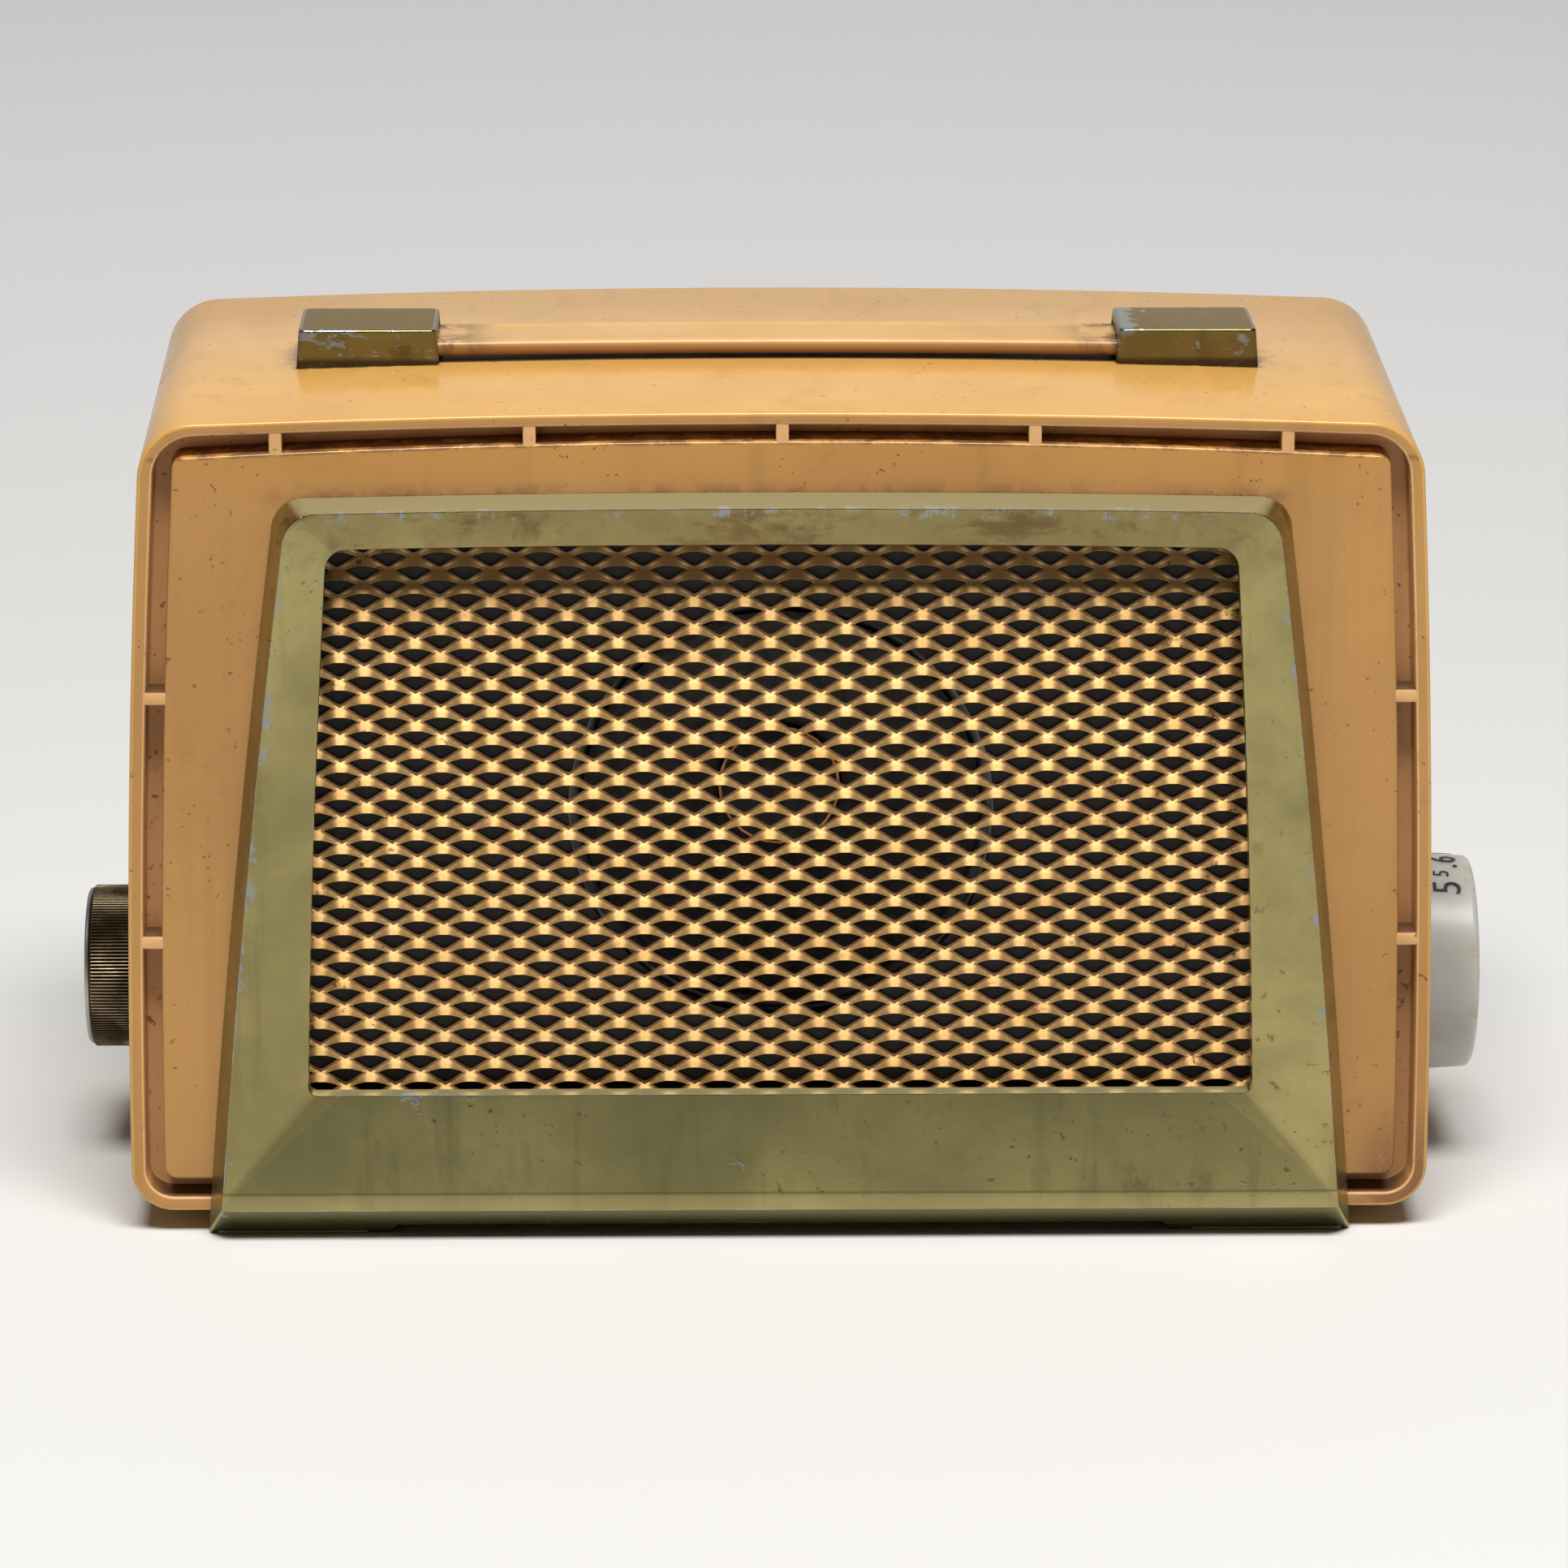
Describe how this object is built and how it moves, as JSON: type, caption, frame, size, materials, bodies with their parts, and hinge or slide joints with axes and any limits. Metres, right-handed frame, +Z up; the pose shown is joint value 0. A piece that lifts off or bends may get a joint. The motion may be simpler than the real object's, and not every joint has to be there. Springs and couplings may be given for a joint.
{
  "type": "table radio",
  "caption": "Compact moulded table radio with a cast bezel, expanded metal grille, strap handle, side volume knob and side tuning dial drum.",
  "frame": {"origin": "middle of the whole object's base, on the surface it stands on", "axes": "+X along the width, from the volume knob to the tuning dial; +Y from the grille to the back cover; +Z up"},
  "size_m": [0.304, 0.131, 0.186],
  "materials": {
    "bakelite": "glossy moulded plastic, yellowed towards orange",
    "bezel_lacquer": "olive-gold lacquer over a casting, worn to bare metal at the edges",
    "cap_lacquer": "olive-gold lacquer over a casting, worn to bare metal at the edges",
    "grille_gold": "satin gold expanded metal with rust specks",
    "black_board": "matt black pressed board",
    "plated_steel": "zinc-plated",
    "chassis_steel": "cadmium-plated, dull",
    "magnet_steel": "plated, dull",
    "cone_paper": "felted paper",
    "spider_cloth": "impregnated cloth",
    "copper_wire": "enamelled wire",
    "strap_plastic": "flexible moulded plastic",
    "foot_rubber": "matt",
    "knob_brass": "darkened brass, fine ribs, polished outer ring",
    "dial_plastic": "milky translucent plastic with black numbers",
    "plate_aluminium": "bright sheet",
    "socket_phenolic": "brown phenolic",
    "tube_glass": "clear glass",
    "core_steel": "varnished laminations",
    "back_board": "pressed board"
  },
  "bodies": {
    "cabinet": {"cabinet_shell": "bakelite", "bezel": "bezel_lacquer", "handle_cap_left": "cap_lacquer", "handle_cap_right": "cap_lacquer", "grille_mesh": "grille_gold", "speaker_baffle": "black_board", "bezel_nut_1": "plated_steel", "bezel_nut_2": "plated_steel", "bezel_nut_3": "plated_steel", "bezel_nut_4": "plated_steel", "handle_screw_left": "plated_steel", "handle_screw_right": "plated_steel", "chassis_screw_1": "plated_steel", "chassis_screw_2": "plated_steel", "back_screw_1": "plated_steel", "back_screw_2": "plated_steel", "back_screw_3": "plated_steel", "back_screw_4": "plated_steel", "volume_nut": "plated_steel", "tuning_frame": "plated_steel", "chassis": "chassis_steel", "speaker_basket": "chassis_steel", "volume_control": "chassis_steel", "speaker_magnet": "magnet_steel", "speaker_spider": "spider_cloth", "loop_antenna": "copper_wire", "oscillator_coil": "copper_wire", "rear_foot_left": "foot_rubber", "rear_foot_right": "foot_rubber", "tuning_stator_antenna": "plate_aluminium", "tuning_stator_oscillator": "plate_aluminium", "if_can_1": "plate_aluminium", "if_can_2": "plate_aluminium", "filter_capacitor": "plate_aluminium", "tube_socket_rectifier": "socket_phenolic", "tube_socket_output": "socket_phenolic", "tube_socket_detector": "socket_phenolic", "tube_socket_if_amplifier": "socket_phenolic", "tube_socket_converter": "socket_phenolic", "power_inlet": "socket_phenolic", "tube_rectifier": "tube_glass", "tube_output": "tube_glass", "tube_detector": "tube_glass", "tube_if_amplifier": "tube_glass", "tube_converter": "tube_glass", "output_transformer": "core_steel", "back_cover": "back_board"},
    "handle": {"strap_grip": "strap_plastic", "strap_flex_left": "strap_plastic", "strap_flex_right": "strap_plastic"},
    "strap_left": {"strap_end_left": "strap_plastic"},
    "strap_right": {"strap_end_right": "strap_plastic"},
    "volume": {"volume_knob": "knob_brass", "volume_shaft": "plated_steel"},
    "tuning": {"tuning_dial": "dial_plastic", "tuning_rotor": "plate_aluminium"},
    "speaker": {"speaker_cone": "cone_paper", "voice_coil": "copper_wire", "dust_cap": "cone_paper"}
  },
  "joints": [
    {"name": "volume_turn", "type": "hinge", "parent": "cabinet", "child": "volume", "pos_m": [-0.1461, -0.0005, 0.0415], "axis": [1, 0, 0], "range_deg": [0, 300]},
    {"name": "tuning_turn", "type": "hinge", "parent": "cabinet", "child": "tuning", "pos_m": [0.1439, -0.0005, 0.0415], "axis": [1, 0, 0], "range_deg": [0, 180]},
    {"name": "handle_lift", "type": "slide", "parent": "cabinet", "child": "handle", "axis": [0, 0, 1], "range_m": [0, 0.025], "deforming": ["strap_flex_left", "strap_flex_right"]},
    {"name": "strap_slide_left", "type": "slide", "parent": "handle", "child": "strap_left", "axis": [0.2334, 0, -0.9724], "range_m": [0, 0.02621]},
    {"name": "strap_slide_right", "type": "slide", "parent": "handle", "child": "strap_right", "axis": [-0.2334, 0, -0.9724], "range_m": [0, 0.02621]},
    {"name": "cone_travel", "type": "slide", "parent": "cabinet", "child": "speaker", "axis": [0, 1, 0], "range_m": [-0.0008, 0.0008], "stiffness_N_per_m": 500}
  ],
  "couplings": [
    {"joint": "strap_slide_left", "follows": "handle_lift", "ratio": 1.0284},
    {"joint": "strap_slide_right", "follows": "handle_lift", "ratio": 1.0284}
  ]
}
